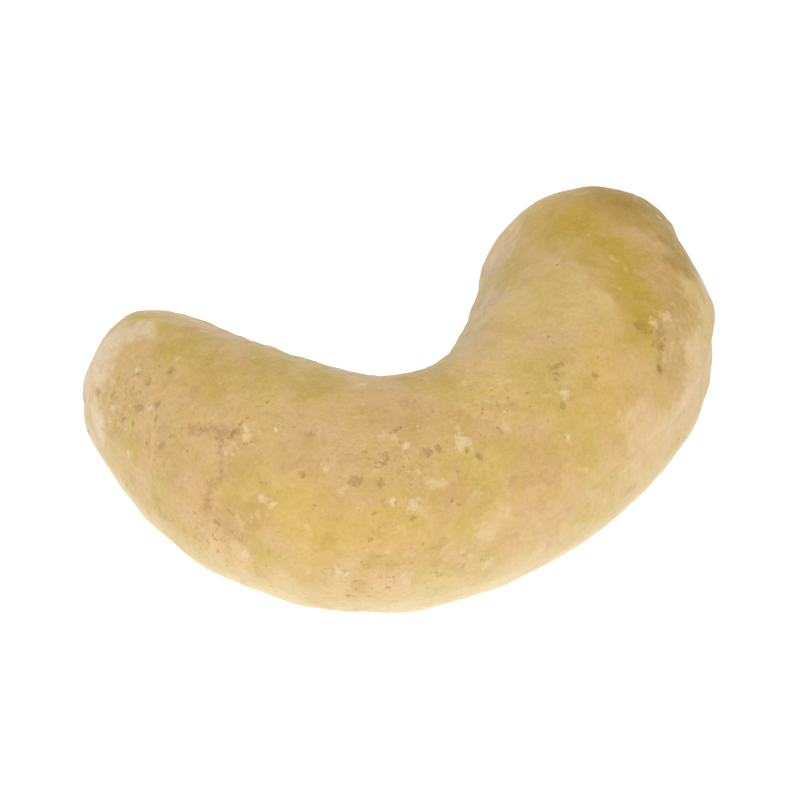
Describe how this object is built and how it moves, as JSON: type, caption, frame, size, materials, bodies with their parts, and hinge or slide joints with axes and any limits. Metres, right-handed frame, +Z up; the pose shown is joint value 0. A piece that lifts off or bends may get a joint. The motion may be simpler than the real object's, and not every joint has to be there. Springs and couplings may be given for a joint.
{
  "type": "roasted cashew nut",
  "caption": "Whole peeled kidney-shaped nut kernel lying on its side, bent in a C, one lobe thicker than the other, with a faint seam round it.",
  "frame": {"origin": "on the surface that the kernel lies on, under the middle of its outline", "axes": "+Z up out of the side that faces up, +X along the kernel's length, +Y out of the open side of its bend"},
  "size_m": [0.0262, 0.0174, 0.0098],
  "materials": {
    "kernel": "waxy matte, cream to tan with olive and pinkish patches"
  },
  "bodies": {
    "root": {"cashew_kernel": "kernel"}
  },
  "joints": []
}
